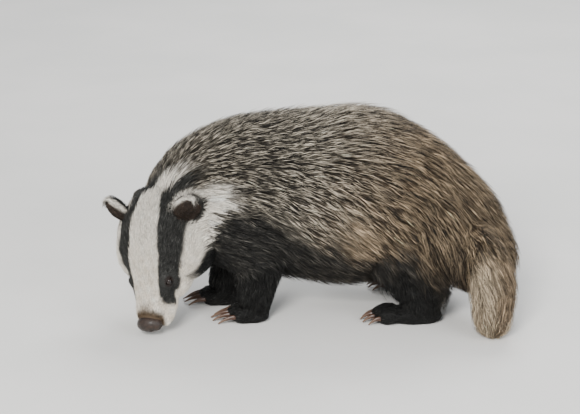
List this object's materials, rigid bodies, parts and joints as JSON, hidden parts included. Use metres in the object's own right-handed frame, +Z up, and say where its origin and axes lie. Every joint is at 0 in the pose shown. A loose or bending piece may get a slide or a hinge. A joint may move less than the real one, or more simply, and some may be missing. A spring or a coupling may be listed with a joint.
{
  "type": "badger model",
  "caption": "Life-size still model of a European badger that stands with its head bent to the ground and its back arched, coat in overlapping locks",
  "frame": {"origin": "middle of the bounding box, on the floor under the animal", "axes": "+Z up, the animal walks towards -X with its left flank towards -Y, and the body bends to its left"},
  "size_m": [0.513, 0.2502, 0.2543],
  "materials": {
    "grey_coat": "coarse grizzled hair",
    "black_coat": "short black hair",
    "white_coat": "short white hair with black stripes",
    "tail_coat": "pale buff hair",
    "nose_skin": "moist bare skin",
    "eye_dark": "wet and glossy",
    "claw_horn": "worn horn"
  },
  "bodies": {
    "root": {"claw_forepaw_left_1": "claw_horn", "claw_forepaw_left_2": "claw_horn", "claw_forepaw_left_3": "claw_horn", "claw_forepaw_left_4": "claw_horn", "claw_forepaw_left_5": "claw_horn", "claw_forepaw_right_1": "claw_horn", "claw_forepaw_right_2": "claw_horn", "claw_forepaw_right_3": "claw_horn", "claw_forepaw_right_4": "claw_horn", "claw_forepaw_right_5": "claw_horn", "claw_hindpaw_left_1": "claw_horn", "claw_hindpaw_left_2": "claw_horn", "claw_hindpaw_left_3": "claw_horn", "claw_hindpaw_left_4": "claw_horn", "claw_hindpaw_left_5": "claw_horn", "claw_hindpaw_right_1": "claw_horn", "claw_hindpaw_right_2": "claw_horn", "claw_hindpaw_right_3": "claw_horn", "claw_hindpaw_right_4": "claw_horn", "claw_hindpaw_right_5": "claw_horn", "ear_left": "black_coat", "ear_right": "black_coat", "eye_left": "eye_dark", "eye_right": "eye_dark", "foreleg_left": "black_coat", "foreleg_right": "black_coat", "forepaw_left": "black_coat", "forepaw_right": "black_coat", "head": "white_coat", "hindleg_left": "black_coat", "hindleg_right": "black_coat", "hindpaw_left": "black_coat", "hindpaw_right": "black_coat", "neck": "grey_coat", "nose": "nose_skin", "tail": "tail_coat", "torso": "grey_coat"}
  },
  "joints": []
}
